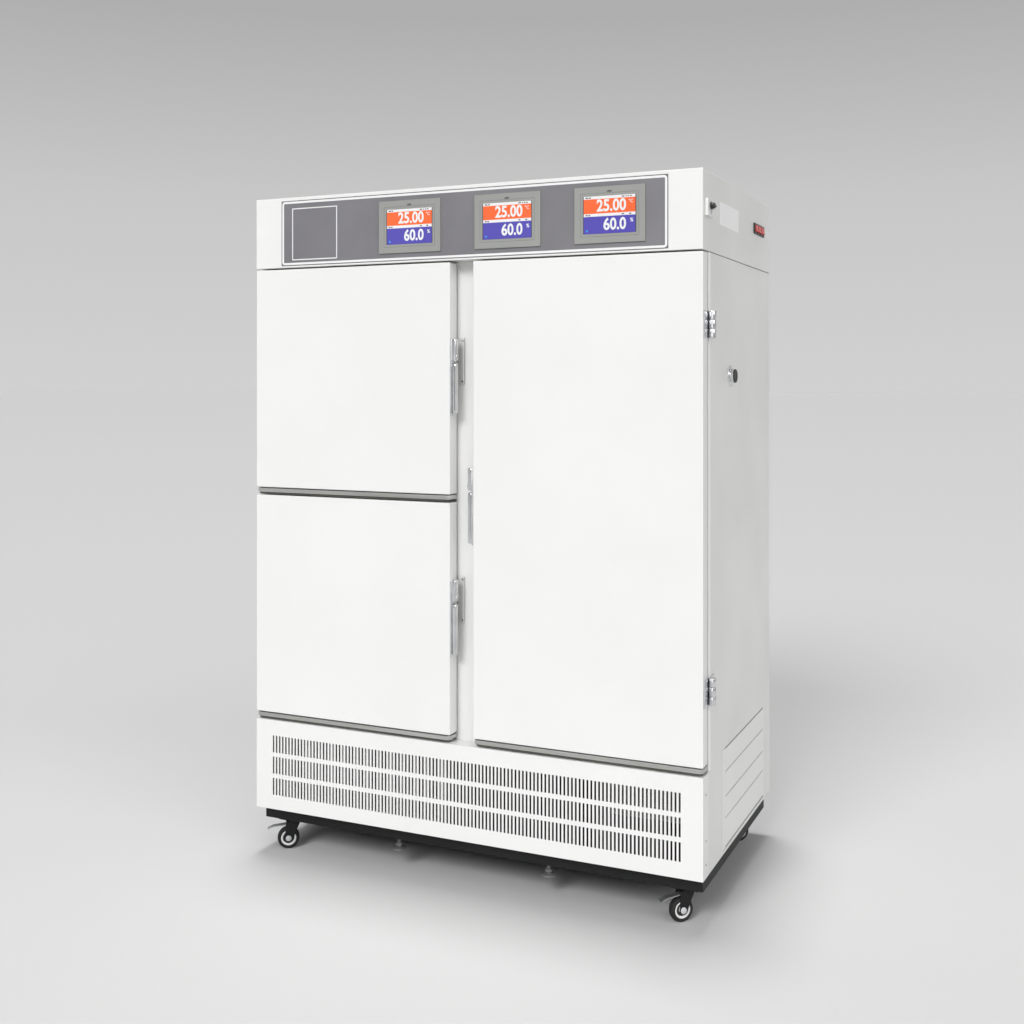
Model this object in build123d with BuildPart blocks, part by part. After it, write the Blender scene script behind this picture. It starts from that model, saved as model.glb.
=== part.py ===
from build123d import *
import math
import os

# Environmental test chamber: three insulated chambers behind three doors, a header with three touch
# controllers, a machine compartment behind a slotted grille, and a base frame on swivel casters.
# Millimetres. +X is to the viewer's right, +Y to the back, +Z up. The floor is Z = 0.

# overall sizes
width = 1360.0
depth = 760.0
body_height = 1800.0
wheel_r = 32.5
wheel_room = 28.0
caster_height = 2 * wheel_r + wheel_room
frame_height = 40.0

# front layout
base_height = 262.0
header_height = 206.0
header_gap = 4.0
door_gap = 3.0
mullion_gap = 71.0
door_depth = 50.0
band_height = 20.0

# walls and chambers
sheet = 2.0
liner_sheet = 1.5
wall_side = 55.0
wall_mid = 45.0
wall_rear = 60.0
chamber_depth = 578.0
duct_depth = 118.0
seal_gap = 0.4
plug_depth = 30.0
plug_gap = 6.0

# grille
slot_count = 115
slot_rows = 3
slot_pitch = 10.86
slot_width = 5.4
slot_height = 50.0
slot_row_pitch = 62.6
slot_first_z = 67.0

# header fittings
screen_w = 142.0
screen_h = 98.0
panel_w = 195.0
panel_h = 147.0
panel_x = (-160.0, 140.0, 432.0)
panel_proud = 5.0
fascia_w = 1179.0
fascia_h = 190.0

# hinges and latches
hinge_h = 70.0
barrel_r = 9.5
hinge_off = 11.0
pin_r = 3.0
latch_w = 18.0
latch_top = 50.0
latch_low = 162.0
latch_rise = {"upper_left": 0.606, "lower_left": 0.606, "right": 0.536}

# casters and feet
wheel_w = 22.0
caster_x = 605.0
caster_shift = 15.0
caster_y = 306.0
trail = 22.0
foot_x = 232.0
foot_y = 312.0
foot_drop = 41.0
foot_lift = caster_height - foot_drop

# running clearances
fit = 0.05
air = 0.4

half_w = width / 2
half_d = depth / 2
body_z = caster_height + frame_height
top_z = body_z + body_height
base_top = body_z + base_height
header_z = top_z - header_height
face_y = -half_d + door_depth
half_m = mullion_gap / 2
chamber_back = face_y + chamber_depth
foam_back = chamber_back + wall_rear
duct_y = chamber_back - duct_depth
hinge_x = half_w + hinge_off
hinge_y = face_y

doors_low = base_top + door_gap
doors_high = header_z - header_gap
doors_split = (doors_low + doors_high) / 2

os.makedirs("parts", exist_ok=True)


def slab(x0, x1, y0, y1, z0, z1):
    with BuildPart() as piece:
        with Locations(((x0 + x1) / 2, (y0 + y1) / 2, (z0 + z1) / 2)):
            Box(x1 - x0, y1 - y0, z1 - z0)
    return piece.part


def rod(radius, start, end):
    line = Vector(*end) - Vector(*start)
    with BuildPart() as piece:
        with BuildSketch(Plane(origin=start, z_dir=line)):
            Circle(radius)
        extrude(amount=line.length)
    return piece.part


def save(name, *pieces):
    if len(pieces) == 1:
        node = pieces[0]
        node.label = name
    else:
        node = Compound(label=name, children=list(pieces))
    export_step(node, "parts/" + name + ".step")


# one record per door: outer edges, chamber opening, hinge side
# side is -1 for a door hinged on the left and +1 for one hinged on the right
doors = {
    "upper_left": (-1, doors_split + door_gap / 2, doors_high),
    "lower_left": (-1, doors_low, doors_split - door_gap / 2),
    "right": (1, doors_low, doors_high),
}


def door_x(side):
    return sorted((side * half_w, side * half_m))


def opening_x(side):
    return sorted((side * (half_w - wall_side), side * (half_m + wall_mid)))


def opening_z(low, high):
    return low + wall_side - 5, high - wall_side + 5


# base frame: welded tube with the caster plates and the floor pan of the machine compartment
rail = 80.0
frame_x = half_w - 10
frame_y = half_d - 35
foot_bore = 6.0 + fit
with BuildPart() as rails:
    with Locations((0, 0, caster_height + frame_height / 2)):
        Box(2 * frame_x, 2 * frame_y, frame_height)
    for bay in (-1, 1):
        with Locations((bay * (frame_x - rail + rail / 2) / 2, 0, caster_height + frame_height / 2)):
            Box(frame_x - rail - rail / 2, 2 * (frame_y - rail), frame_height, mode=Mode.SUBTRACT)
    with Locations(*[(x, y, caster_height) for x in (-foot_x, foot_x) for y in (-foot_y, foot_y)]):
        Cylinder(foot_bore, 4 * frame_height, mode=Mode.SUBTRACT)
bars = []
cut_x = frame_x - rail
cut_y = frame_y - rail
for y in (-1, 1):
    bar = rails.part & slab(-frame_x, frame_x, *sorted((y * cut_y, y * frame_y)), caster_height, body_z)
    bars.append(bar)
for x in (-1, 1):
    bars.append(slab(*sorted((x * cut_x, x * frame_x)), -cut_y, cut_y, caster_height, body_z))
bars.append(slab(-rail / 2, rail / 2, -cut_y, cut_y, caster_height, body_z))
bars.append(slab(-half_w + sheet, half_w - sheet, face_y, half_d - sheet, body_z, body_z + sheet))
plate_h = 3.0
for x in (caster_shift - caster_x, caster_shift + caster_x):
    for y in (-caster_y, caster_y):
        with BuildPart() as plate:
            with Locations((x, y, caster_height - plate_h / 2)):
                Box(72, 72, plate_h)
            with Locations((x, y, caster_height - 9)):
                Cylinder(5, 18)
        bars.append(plate.part)
save("base_frame", *bars)

# outer shell: sides, back with wall spacers, chamber floor, and a vented service panel on each side
port_y = -105.0
port_r = 19.0
port_rise = {"upper_left": 0.526, "lower_left": 0.526, "right": 0.763}
port_z = {key: low + port_rise[key] * (high - low) for key, (side, low, high) in doors.items()}
spacer = panel_proud + 1.0
shell = []
for side in (-1, 1):
    with BuildPart() as panel:
        with Locations((side * (half_w - sheet / 2), (face_y + half_d) / 2, (body_z + header_z) / 2)):
            Box(sheet, half_d - face_y, header_z - body_z)
        with Locations((side * half_w, 53, body_z + 127)):
            Box(4 * sheet, 440, 216, mode=Mode.SUBTRACT)
        for key in port_z:
            if doors[key][0] == side:
                with Locations((side * half_w, port_y, port_z[key])):
                    Cylinder(port_r, 20, rotation=(0, 90, 0), mode=Mode.SUBTRACT)
    shell.append(panel.part)
with BuildPart() as vent_right:
    with Locations((half_w + 0.75, 53.5, body_z + 146.5)):
        Box(1.5, 481, 267)
    for rise in (27, 94, 151, 217):
        with Locations((half_w, 53, body_z + rise)):
            Box(10, 430, 4, mode=Mode.SUBTRACT)
shell.append(vent_right.part)
shell.append(vent_right.part.mirror(Plane.YZ))
inner_x = half_w - sheet
with BuildPart() as back:
    with Locations((0, half_d - sheet / 2, (body_z + header_z) / 2)):
        Box(2 * inner_x, sheet, header_z - body_z)
    with BuildSketch(Plane.XZ.offset(-half_d)):
        with GridLocations(2 * half_w - 160, body_height - 500, 2, 2):
            with Locations((0, (body_z + header_z) / 2)):
                Circle(20)
    extrude(amount=-spacer)
shell.append(back.part)
shell.append(slab(-inner_x, inner_x, face_y + sheet, half_d - sheet, base_top, base_top + sheet))
save("outer_shell", *shell)

# front frame: sheet bars around the three chamber openings, the face the gaskets close on
bars = []
y0, y1 = face_y, face_y + sheet
right_x = opening_x(1)
left_x = opening_x(-1)
low_z = opening_z(*doors["lower_left"][1:])
up_z = opening_z(*doors["upper_left"][1:])
tall_z = opening_z(*doors["right"][1:])
bars.append(slab(-inner_x, left_x[0], y0, y1, base_top, header_z))
bars.append(slab(left_x[1], right_x[0], y0, y1, base_top, header_z))
bars.append(slab(right_x[1], inner_x, y0, y1, base_top, header_z))
bars.append(slab(left_x[0], left_x[1], y0, y1, base_top, low_z[0]))
bars.append(slab(left_x[0], left_x[1], y0, y1, low_z[1], up_z[0]))
bars.append(slab(left_x[0], left_x[1], y0, y1, up_z[1], header_z))
bars.append(slab(right_x[0], right_x[1], y0, y1, base_top, tall_z[0]))
bars.append(slab(right_x[0], right_x[1], y0, y1, tall_z[1], header_z))
save("front_frame", *bars)

# chambers: stainless liner, shelf posts, shelves, duct cover, cooling coil with heater rods, fan and motor
shelf_total = {"upper_left": 2, "lower_left": 2, "right": 4}
shaft_r = 6.0
motor_r = 40.0
fan_r = 88.0
fan_drop = 136.0
coil_lift = 15.0
coil_drop = 210.0
rod_drop = 185.0
fan_up = 425.0
t = liner_sheet
shelves = []
covers = []
coils = []
motors = []
sleeves = []
pockets = []
post = 12.0


def fan_wheel(x, y, z, radius, blade, shaft_to):
    with BuildPart() as fan:
        with BuildSketch(Plane(origin=(x, y, z), x_dir=(1, 0, 0), z_dir=(0, 1, 0))):
            Circle(radius)
        extrude(amount=3)
        with BuildSketch(Plane(origin=(x, y, z), x_dir=(1, 0, 0), z_dir=(0, 1, 0))):
            Circle(20)
        extrude(amount=-blade)
        with BuildSketch(Plane(origin=(x, y, z), x_dir=(1, 0, 0), z_dir=(0, 1, 0))):
            with PolarLocations((radius + 20) / 2 + 4, 8):
                with Locations(Rotation(0, 0, 25)):
                    Rectangle(radius - 34, 3)
        extrude(amount=-blade)
        with BuildSketch(Plane(origin=(x, y, z), x_dir=(1, 0, 0), z_dir=(0, 1, 0))):
            Circle(shaft_r)
        extrude(amount=shaft_to - y)
    return fan.part


for key, (side, low, high) in doors.items():
    x0, x1 = opening_x(side)
    z0, z1 = opening_z(low, high)
    wall_x = x1 if side > 0 else x0
    fan_x = (x0 + x1) / 2
    fan_z = z0 + fan_up if key == "right" else z1 - fan_drop
    hole_r = shaft_r + 2
    plates = []
    plates.append(slab(x0 - t, x1 + t, y1, chamber_back, z0 - t, z0))
    plates.append(slab(x0 - t, x1 + t, y1, chamber_back, z1, z1 + t))
    for x in (x0 - t, x1):
        with BuildPart() as wall:
            with Locations((x + t / 2, (y1 + chamber_back) / 2, (z0 + z1) / 2)):
                Box(t, chamber_back - y1, z1 - z0)
            if abs(x + t / 2 - wall_x) < t:
                with Locations((x, port_y, port_z[key])):
                    Cylinder(port_r, 20, rotation=(0, 90, 0), mode=Mode.SUBTRACT)
        plates.append(wall.part)
    with BuildPart() as rear:
        with Locations(((x0 + x1) / 2, chamber_back - t / 2, (z0 + z1) / 2)):
            Box(x1 - x0, t, z1 - z0)
        with Locations((fan_x, chamber_back, fan_z)):
            Cylinder(hole_r, 20, rotation=(90, 0, 0), mode=Mode.SUBTRACT)
    plates.append(rear.part)
    for x in (x0, x1 - 3):
        for y in (face_y + 90, duct_y - 60):
            plates.append(slab(x, x + 3, y, y + post, z0, z1))
    save("liner_" + key, *plates)
    pockets.append((x0 - t, x1 + t, z0 - t, z1 + t, fan_x, fan_z, hole_r, wall_x, port_z[key], side))

    count = shelf_total[key]
    for i in range(count):
        z = z0 + (z1 - z0) * (i + 1) / (count + 1)
        with BuildPart() as shelf:
            with Locations((fan_x, (face_y + 45 + duct_y - 15) / 2, z)):
                Box(x1 - x0 - 6, duct_y - 15 - face_y - 45, 3)
                with GridLocations(70, 170, 7, 2):
                    Box(34, 130, 9, mode=Mode.SUBTRACT)
            with Locations((fan_x, face_y + 46.5, z - 4.5)):
                Box(x1 - x0 - 6, 3, 12)
        shelves.append(shelf.part)

    with BuildPart() as cover:
        with Locations((fan_x, duct_y + t / 2, (z0 + z1) / 2)):
            Box(x1 - x0, t, z1 - z0 - 60)
        with Locations((fan_x, duct_y, fan_z)):
            Cylinder(fan_r - 14, 20, rotation=(90, 0, 0), mode=Mode.SUBTRACT)
    covers.append(cover.part)

    coil_h = fan_z - coil_drop - z0 - coil_lift
    with BuildPart() as coil:
        with Locations((fan_x, chamber_back - t - 40, z0 + coil_lift + coil_h / 2)):
            Box(x1 - x0 - 60, 80, coil_h)
            with GridLocations(50, 1, 9, 1):
                Box(30, 90, coil_h * 3 / 4, mode=Mode.SUBTRACT)
    coils.append(coil.part)
    for i in range(3):
        z = fan_z - rod_drop + 22 * i
        coils.append(rod(5, (x0, chamber_back - 45, z), (x1, chamber_back - 45, z)))

    save("fan_" + key, fan_wheel(fan_x, duct_y + 55, fan_z, fan_r, 45, foam_back + 20))
    with BuildPart() as motor:
        with BuildSketch(Plane(origin=(fan_x, foam_back, fan_z), x_dir=(1, 0, 0), z_dir=(0, 1, 0))):
            Circle(motor_r)
        extrude(amount=min(60, half_d - sheet - foam_back - 4))
        with BuildSketch(Plane(origin=(fan_x, foam_back, fan_z), x_dir=(1, 0, 0), z_dir=(0, 1, 0))):
            Circle(shaft_r + fit)
        extrude(amount=24, mode=Mode.SUBTRACT)
    motors.append(motor.part)

    # cable port: flanged tube through the side wall, closed by a plug that pulls out
    tube_end = half_w + 12
    with BuildPart() as sleeve:
        with BuildSketch(Plane(origin=(wall_x, port_y, port_z[key]), z_dir=(side, 0, 0))):
            Circle(port_r)
        extrude(amount=tube_end - abs(wall_x))
        with BuildSketch(Plane(origin=(side * half_w, port_y, port_z[key]), z_dir=(side, 0, 0))):
            Circle(29.5)
        extrude(amount=3)
        with BuildSketch(Plane(origin=(wall_x, port_y, port_z[key]), z_dir=(side, 0, 0))):
            Circle(16)
        extrude(amount=200, mode=Mode.SUBTRACT)
    sleeves.append(sleeve.part)
    with BuildPart() as plug:
        with BuildSketch(Plane(origin=(side * (tube_end + air), port_y, port_z[key]), z_dir=(side, 0, 0))):
            Circle(18.5)
        extrude(amount=4)
        with BuildSketch(Plane(origin=(side * (tube_end - 44), port_y, port_z[key]), z_dir=(side, 0, 0))):
            Circle(16 - fit)
        extrude(amount=45)
    save("port_plug_" + key, plug.part)

save("shelves", *shelves)
save("duct_covers", *covers)
save("air_coils", *coils)
save("port_sleeves", *sleeves)

# insulation: foam around the three liners, sealed between them and the shell
with BuildPart() as foam:
    floor_z = base_top + sheet
    with Locations((0, (y1 + foam_back) / 2, (floor_z + header_z) / 2)):
        Box(2 * inner_x, foam_back - y1, header_z - floor_z)
    for x0, x1, z0, z1, fan_x, fan_z, hole_r, wall_x, hole_z, side in pockets:
        with Locations(((x0 + x1) / 2, (y1 + chamber_back) / 2, (z0 + z1) / 2)):
            Box(x1 - x0, chamber_back - y1, z1 - z0, mode=Mode.SUBTRACT)
        with Locations((fan_x, foam_back, fan_z)):
            Cylinder(hole_r, 300, rotation=(90, 0, 0), mode=Mode.SUBTRACT)
        with Locations((side * half_w, port_y, hole_z)):
            Cylinder(port_r, 2 * wall_side + 20, rotation=(0, 90, 0), mode=Mode.SUBTRACT)
save("insulation", foam.part)

# machine compartment
pan_z = body_z + sheet
compressors = []
for x in (-440, -240, -40):
    with BuildPart() as pump:
        with Locations((x, 170, pan_z + 8)):
            Box(150, 130, 16)
        with BuildSketch(Plane.XY.offset(pan_z + 16)):
            with Locations((x, 170)):
                Circle(68)
        extrude(amount=180)
        fillet(pump.edges().sort_by(Axis.Z)[-1], radius=30)
    compressors.append(pump.part)
save("compressors", *compressors)
blower_r = (base_height - 62) / 2
fan_z = body_z + 25 + blower_r
fan_x = -330.0
condenser_h = base_height - 38
with BuildPart() as condenser:
    with Locations((fan_x, face_y + 55, pan_z + condenser_h / 2)):
        Box(480, 44, condenser_h)
        with GridLocations(40, 1, 11, 1):
            Box(26, 50, condenser_h - 28, mode=Mode.SUBTRACT)
save("condenser", condenser.part)
fan_y = face_y + 130
save("fan_condenser", fan_wheel(fan_x, fan_y, fan_z, blower_r, 35, fan_y + 30))
with BuildPart() as motor:
    with BuildSketch(Plane(origin=(fan_x, fan_y + 10, fan_z), x_dir=(1, 0, 0), z_dir=(0, 1, 0))):
        Circle(34)
    extrude(amount=70)
    with Locations((fan_x, fan_y + 45, (pan_z + fan_z) / 2)):
        Box(40, 60, fan_z - pan_z)
    with BuildSketch(Plane(origin=(fan_x, fan_y + 10, fan_z), x_dir=(1, 0, 0), z_dir=(0, 1, 0))):
        Circle(shaft_r + fit)
    extrude(amount=24, mode=Mode.SUBTRACT)
motors.append(motor.part)
save("fan_motors", *motors)
with BuildPart() as tank:
    with Locations((430, 120, pan_z + 100)):
        Box(280, 260, 200)
    fillet(tank.edges().filter_by(Axis.Z), radius=20)
    with Locations((430, 30, pan_z + 208)):
        Cylinder(28, 16)
save("water_tank", tank.part)

# front grille: folded panel with three rows of upright slots
with BuildPart() as grille:
    with Locations((0, (face_y - half_d) / 2, (body_z + base_top) / 2)):
        Box(width, door_depth, base_height)
    fillet(grille.edges().filter_by(Axis.Z).sort_by(Axis.Y)[:2], radius=2)
    with Locations((0, face_y - door_depth / 2 + sheet, (body_z + base_top) / 2)):
        Box(width - 2 * sheet, door_depth, base_height - 2 * sheet, mode=Mode.SUBTRACT)
    with BuildSketch(Plane.XZ.offset(half_d)):
        for row in range(slot_rows):
            with Locations((0, body_z + slot_first_z + slot_row_pitch * row)):
                with GridLocations(slot_pitch, 1, slot_count, 1):
                    Rectangle(slot_width, slot_height)
    extrude(amount=-2 * sheet, mode=Mode.SUBTRACT)
save("front_grille", grille.part)

# header housing: floor, front with three cut-outs, sides, back and lid, with the electronics on its floor
panel_z = top_z - 105.0
knob_y = -337.0
knob_z = top_z - 92.0
switch_y = 230.0
switch_z = top_z - 90.0
cut_w = panel_w - 10
cut_h = panel_h - 10
pieces = []
pieces.append(slab(-half_w, half_w, -half_d, half_d, header_z, header_z + sheet))
with BuildPart() as front:
    with Locations((0, -half_d + sheet / 2, (header_z + top_z) / 2)):
        Box(width, sheet, header_height - 2 * sheet)
    for x in panel_x:
        with Locations((x, -half_d, panel_z)):
            Box(cut_w, 20, cut_h, mode=Mode.SUBTRACT)
pieces.append(front.part)
wall_low, wall_high = header_z + sheet, top_z - sheet
with BuildPart() as cheek:
    with Locations((half_w - sheet / 2, 0, (wall_low + wall_high) / 2)):
        Box(sheet, depth - 2 * sheet, wall_high - wall_low)
    with Locations((half_w, switch_y, switch_z)):
        Box(20, 121, 26, mode=Mode.SUBTRACT)
    with Locations((half_w + 4.5, knob_y, top_z - 97)):
        Box(9, 54, 44)
    with Locations((half_w, knob_y, knob_z)):
        Cylinder(3 + fit, 40, rotation=(0, 90, 0), mode=Mode.SUBTRACT)
pieces.append(cheek.part)
pieces.append(slab(-half_w, -half_w + sheet, -half_d + sheet, half_d - sheet, wall_low, wall_high))
pieces.append(slab(-half_w, half_w, half_d - sheet, half_d, wall_low, wall_high))
with BuildPart() as lid:
    with Locations((0, 0, top_z - sheet / 2)):
        Box(width, depth, sheet)
pieces.append(lid.part)
save("header_housing", *pieces)
with BuildPart() as electronics:
    with Locations((-60, 120, wall_low + 3)):
        Box(620, 300, 6)
    with Locations((-220, 120, wall_low + 41)):
        Box(200, 220, 70)
    with Locations((60, 120, wall_low + 31)):
        Box(260, 240, 50)
save("electronics", electronics.part)

# fascia: thin grey overlay around the three controllers
with BuildPart() as fascia:
    with Locations((0, -half_d - 0.5, top_z - 10 - fascia_h / 2)):
        Box(fascia_w, 1, fascia_h)
    for x in panel_x:
        with Locations((x, -half_d, panel_z)):
            Box(cut_w, 20, cut_h, mode=Mode.SUBTRACT)
save("fascia_panel", fascia.part)

bezels = []
screens = []
front_y = -half_d - 1 - panel_proud
for x in panel_x:
    with BuildPart() as bezel:
        with Locations((x, front_y + panel_proud / 2, panel_z)):
            Box(panel_w, panel_proud, panel_h)
        fillet(bezel.edges().filter_by(Axis.Y), radius=3)
        chamfer(bezel.faces().sort_by(Axis.Y)[0].edges(), length=1)
        with Locations((x, front_y + panel_proud + 21, panel_z)):
            Box(cut_w - 1, 42, cut_h - 1)
        with Locations((x, front_y, panel_z)):
            Box(screen_w, 3, screen_h, mode=Mode.SUBTRACT)
    bezels.append(bezel.part)
    sx, sz = screen_w / 2, screen_h / 2
    screens.append(slab(x - sx, x + sx, front_y + 0.5, front_y + 1.5, panel_z - sz, panel_z + sz))
save("controller_bezels", *bezels)
save("controller_screens", *screens)

# side switches and the knob of the temperature limiter
rock_w = 30.0
rock_h = 21.0
rock_pitch = 38.0
rock_x = half_w + 1.0
with BuildPart() as housing:
    with Locations((half_w - 8, switch_y, switch_z)):
        Box(16, 120, 25.5)
    with Locations((half_w + 2, switch_y, switch_z)):
        Box(4, 126, 31)
    for i in (-1, 0, 1):
        with Locations((rock_x, switch_y + i * rock_pitch, switch_z)):
            Box(22, rock_w + 2 * air, rock_h + 2 * air + 1, mode=Mode.SUBTRACT)
            Cylinder(1.5 + fit, rock_w + 6, rotation=(90, 0, 0), mode=Mode.SUBTRACT)
save("switch_housing", housing.part)
tilt = 8.0
for i in (-1, 0, 1):
    ys = switch_y + i * rock_pitch
    with BuildPart() as rocker:
        end_y = ys + rock_w / 2
        with BuildSketch(Plane(origin=(rock_x, end_y, switch_z), x_dir=(1, 0, 0), z_dir=(0, -1, 0))):
            with BuildLine(Rotation(0, 0, tilt)):
                Polyline((-5, -7), (-5, 7), (4.6, rock_h / 2 - 1), (6.2, rock_h / 2 - 1), (4.2, 0),
                         (6.2, -rock_h / 2 + 1), (4.6, -rock_h / 2 + 1), close=True)
            make_face()
        extrude(amount=rock_w)
        with Locations((rock_x, ys, switch_z)):
            Cylinder(1.5, rock_w + 5, rotation=(90, 0, 0))
    save("rocker_" + ("front", "middle", "rear")[i + 1], rocker.part)
with BuildPart() as knob:
    with BuildSketch(Plane(origin=(half_w + 9 + air, knob_y, knob_z), x_dir=(0, 1, 0), z_dir=(1, 0, 0))):
        Circle(11)
    extrude(amount=3)
    with BuildSketch(Plane(origin=(half_w + 9 + air, knob_y, knob_z), x_dir=(0, 1, 0), z_dir=(1, 0, 0))):
        SlotOverall(34, 9)
    extrude(amount=11)
    with BuildSketch(Plane(origin=(half_w + 9 + air, knob_y, knob_z), x_dir=(0, 1, 0), z_dir=(1, 0, 0))):
        Circle(3)
    extrude(amount=-16)
save("limiter_knob", knob.part)


# hinge: two leaves around one barrel, the cabinet leaf with the end knuckles and the pin
def hinge_centres(key):
    side, low, high = doors[key]
    if key == "right":
        return low + 205, high - 184
    return low + 110, high - 110


knuckle = (hinge_h - 1.0) / 3
leaf_t = 2.5
web_x = half_w + leaf_t / 2 + 0.3
cabinet_hw = []
for key, (side, low, high) in doors.items():
    for z in hinge_centres(key):
        with BuildPart() as leaf:
            with Locations((side * (half_w + leaf_t / 2), hinge_y + 6 + 22, z)):
                Box(leaf_t, 44, hinge_h)
            for end in (-1, 1):
                with Locations((side * hinge_x, hinge_y, z + end * (hinge_h - knuckle) / 2)):
                    Cylinder(barrel_r, knuckle)
                with Locations((side * web_x, hinge_y + 4, z + end * (hinge_h - knuckle) / 2)):
                    Box(leaf_t - 0.6, 6, knuckle)
            with Locations((side * hinge_x, hinge_y, z)):
                Cylinder(pin_r, hinge_h)
        cabinet_hw.append(leaf.part)

# strike: block with round ends on the front frame beside each latch
strike_low, strike_high = -80.0, 57.0
for key, (side, low, high) in doors.items():
    z = low + latch_rise[key] * (high - low)
    with BuildPart() as strike:
        with BuildSketch(Plane.XZ.offset(-face_y)):
            with Locations((side * (half_m - 13), z + (strike_low + strike_high) / 2)):
                SlotOverall(strike_high - strike_low, 20, rotation=90)
        extrude(amount=7)
        fillet(strike.faces().sort_by(Axis.Y)[0].edges(), radius=1.5)
    cabinet_hw.append(strike.part)
save("cabinet_hardware", *cabinet_hw)

# doors: painted skin, steel pan with the bottom band and the plug, gasket, hardware, lever
skin_y = face_y - seal_gap - 5.6
pan_t = 2.0
gasket_w = 18.0
for key, (side, low, high) in doors.items():
    x0, x1 = door_x(side)
    ox0, ox1 = opening_x(side)
    oz0, oz1 = opening_z(low, high)
    with BuildPart() as skin:
        with Locations(((x0 + x1) / 2, (skin_y - half_d) / 2, (low + band_height + high) / 2)):
            Box(x1 - x0, skin_y + half_d, high - low - band_height)
        fillet(skin.edges().filter_by(Axis.Z).sort_by(Axis.Y)[:2], radius=3)
    save("door_" + key, skin.part)

    band = slab(x0 + 1, x1 - 1, -half_d + 1, skin_y, low, low + band_height)
    with BuildPart() as strip:
        add(band)
        chamfer(strip.edges().filter_by(Axis.Z).sort_by(Axis.Y)[:2], length=5)
    sheet_back = slab(x0 + 1, x1 - 1, skin_y, skin_y + pan_t, low, high - 1)
    g = plug_gap
    plug = slab(ox0 + g, ox1 - g, skin_y + pan_t, face_y + plug_depth, oz0 + g, oz1 - g)
    save("door_pan_" + key, strip.part, sheet_back, plug)

    with BuildPart() as gasket:
        with BuildSketch(Plane.XZ.offset(-skin_y - pan_t)):
            with Locations(((x0 + x1) / 2, (low + high) / 2)):
                RectangleRounded(x1 - x0 - 16, high - low - 16, 8)
                Rectangle(x1 - x0 - 16 - 2 * gasket_w, high - low - 16 - 2 * gasket_w, mode=Mode.SUBTRACT)
        extrude(amount=-(face_y - seal_gap - skin_y - pan_t))
    save("door_gasket_" + key, gasket.part)

    hardware = []
    for z in hinge_centres(key):
        with BuildPart() as leaf:
            with Locations((side * (half_w + leaf_t / 2), hinge_y - 6 - 20, z)):
                Box(leaf_t, 40, hinge_h)
            with Locations((side * hinge_x, hinge_y, z)):
                Cylinder(barrel_r, knuckle)
            with Locations((side * web_x, hinge_y - 4.5, z)):
                Box(leaf_t - 0.6, 5, knuckle)
            with Locations((side * hinge_x, hinge_y, z)):
                Cylinder(pin_r + fit, knuckle + 2, mode=Mode.SUBTRACT)
        hardware.append(leaf.part)

    # latch: long plate on the door's edge, head with the key lock, pivot for the lever
    z = low + latch_rise[key] * (high - low)
    lx = side * half_m
    sg = -side
    mid_y = -half_d + 10.5
    pivot_z = z - 26
    with BuildPart() as latch:
        plate_z = z + (latch_top - latch_low) / 2
        with BuildSketch(Plane(origin=(lx, mid_y, plate_z), x_dir=(0, sg, 0), z_dir=(sg, 0, 0))):
            RectangleRounded(21, latch_top + latch_low, 6)
        extrude(amount=5)
        head_z = z + latch_top / 2 - 7
        with BuildSketch(Plane(origin=(lx, mid_y, head_z), x_dir=(0, sg, 0), z_dir=(sg, 0, 0))):
            RectangleRounded(19, latch_top + 12, 5)
        extrude(amount=latch_w)
        with BuildSketch(Plane(origin=(lx, mid_y, pivot_z), x_dir=(0, sg, 0), z_dir=(sg, 0, 0))):
            Circle(4)
        extrude(amount=latch_w - 1)
        with BuildSketch(Plane(origin=(lx + sg * latch_w, mid_y, z), x_dir=(0, sg, 0), z_dir=(sg, 0, 0))):
            Circle(7)
        extrude(amount=1)
        key_x = lx + sg * (latch_w + 1)
        with BuildSketch(Plane(origin=(key_x, mid_y, z), x_dir=(0, sg, 0), z_dir=(sg, 0, 0))):
            Rectangle(1.6, 7)
        extrude(amount=-3, mode=Mode.SUBTRACT)
    hardware.append(latch.part)
    save("door_hardware_" + key, *hardware)

    lever_len = pivot_z - (z - latch_low) - 3
    with BuildPart() as lever:
        lever_x = lx + sg * (5 + air)
        with BuildSketch(Plane(origin=(lever_x, mid_y, pivot_z), x_dir=(0, sg, 0), z_dir=(sg, 0, 0))):
            Circle(9)
            with Locations((0, -lever_len / 2)):
                Rectangle(16, lever_len)
        extrude(amount=latch_w - 6)
        tips = lever.edges().filter_by(Axis.X).group_by(Axis.Z)[0]
        fillet(tips, radius=5)
        with BuildSketch(Plane(origin=(lx, mid_y, pivot_z), x_dir=(0, sg, 0), z_dir=(sg, 0, 0))):
            Circle(4 + fit)
        extrude(amount=latch_w + 5, mode=Mode.SUBTRACT)
    save("lever_" + key, lever.part)

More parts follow.
